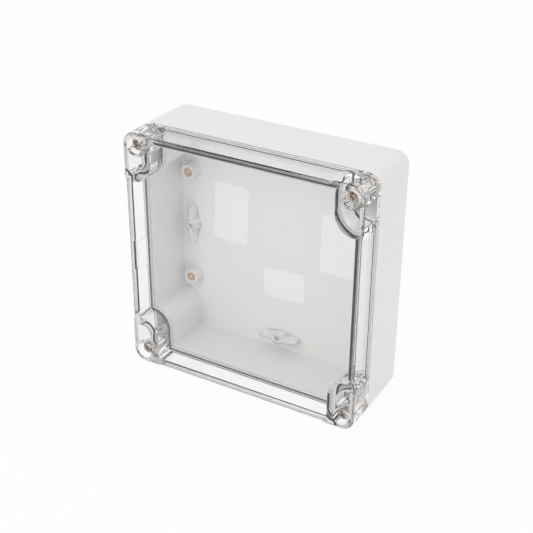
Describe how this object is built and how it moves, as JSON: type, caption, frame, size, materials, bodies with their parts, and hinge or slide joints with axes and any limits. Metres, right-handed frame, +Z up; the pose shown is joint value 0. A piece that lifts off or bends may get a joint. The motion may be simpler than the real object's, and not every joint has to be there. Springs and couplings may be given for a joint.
{
  "type": "waterproof plastic enclosure",
  "caption": "Square waterproof wall enclosure: opaque moulded base with wells and bosses, clear lid with captive corner screws, gasket in the lid's groove, brass inserts.",
  "frame": {"origin": "middle of the underside, on the surface the box stands on, half way through its depth", "axes": "+Z up, lid facing -Y, wall side facing +Y, +X to the right as seen from the lid"},
  "size_m": [0.16, 0.06, 0.16],
  "materials": {
    "base_plastic": "fine satin, as moulded",
    "clear_plastic": "clear, polished",
    "gasket_rubber": "soft, matte",
    "ring_rubber": "matte",
    "stainless_steel": "bright, cold-headed",
    "brass": "turned"
  },
  "bodies": {
    "base": {"base": "base_plastic", "corner_insert_top_left": "brass", "corner_insert_top_right": "brass", "corner_insert_bottom_left": "brass", "corner_insert_bottom_right": "brass", "panel_insert_top_left": "brass", "panel_insert_top_right": "brass", "panel_insert_bottom_left": "brass", "panel_insert_bottom_right": "brass"},
    "lid": {"lid": "clear_plastic", "gasket": "gasket_rubber"},
    "ring_top_left": {"sealing_ring_top_left": "ring_rubber"},
    "screw_top_left": {"lid_screw_top_left": "stainless_steel"},
    "ring_top_right": {"sealing_ring_top_right": "ring_rubber"},
    "screw_top_right": {"lid_screw_top_right": "stainless_steel"},
    "ring_bottom_left": {"sealing_ring_bottom_left": "ring_rubber"},
    "screw_bottom_left": {"lid_screw_bottom_left": "stainless_steel"},
    "ring_bottom_right": {"sealing_ring_bottom_right": "ring_rubber"},
    "screw_bottom_right": {"lid_screw_bottom_right": "stainless_steel"}
  },
  "joints": [
    {"name": "lid_lift", "type": "slide", "parent": "base", "child": "lid", "axis": [0, -1, 0], "range_m": [0, 0.08]},
    {"name": "ring_top_left_travel", "type": "slide", "parent": "lid", "child": "ring_top_left", "axis": [0, -1, 0], "range_m": [0, 0.007]},
    {"name": "screw_top_left_turn", "type": "hinge", "parent": "ring_top_left", "child": "screw_top_left", "pos_m": [-0.0715, -0.028, 0.1515], "axis": [0, -1, 0], "range_deg": [0, 3600]},
    {"name": "ring_top_right_travel", "type": "slide", "parent": "lid", "child": "ring_top_right", "axis": [0, -1, 0], "range_m": [0, 0.007]},
    {"name": "screw_top_right_turn", "type": "hinge", "parent": "ring_top_right", "child": "screw_top_right", "pos_m": [0.0715, -0.028, 0.1515], "axis": [0, -1, 0], "range_deg": [0, 3600]},
    {"name": "ring_bottom_left_travel", "type": "slide", "parent": "lid", "child": "ring_bottom_left", "axis": [0, -1, 0], "range_m": [0, 0.007]},
    {"name": "screw_bottom_left_turn", "type": "hinge", "parent": "ring_bottom_left", "child": "screw_bottom_left", "pos_m": [-0.0715, -0.028, 0.0085], "axis": [0, -1, 0], "range_deg": [0, 3600]},
    {"name": "ring_bottom_right_travel", "type": "slide", "parent": "lid", "child": "ring_bottom_right", "axis": [0, -1, 0], "range_m": [0, 0.007]},
    {"name": "screw_bottom_right_turn", "type": "hinge", "parent": "ring_bottom_right", "child": "screw_bottom_right", "pos_m": [0.0715, -0.028, 0.0085], "axis": [0, -1, 0], "range_deg": [0, 3600]}
  ],
  "couplings": [
    {"joint": "screw_top_left_turn", "follows": "ring_top_left_travel", "rad_per_m": 8976},
    {"joint": "screw_top_right_turn", "follows": "ring_top_right_travel", "rad_per_m": 8976},
    {"joint": "screw_bottom_left_turn", "follows": "ring_bottom_left_travel", "rad_per_m": 8976},
    {"joint": "screw_bottom_right_turn", "follows": "ring_bottom_right_travel", "rad_per_m": 8976}
  ]
}
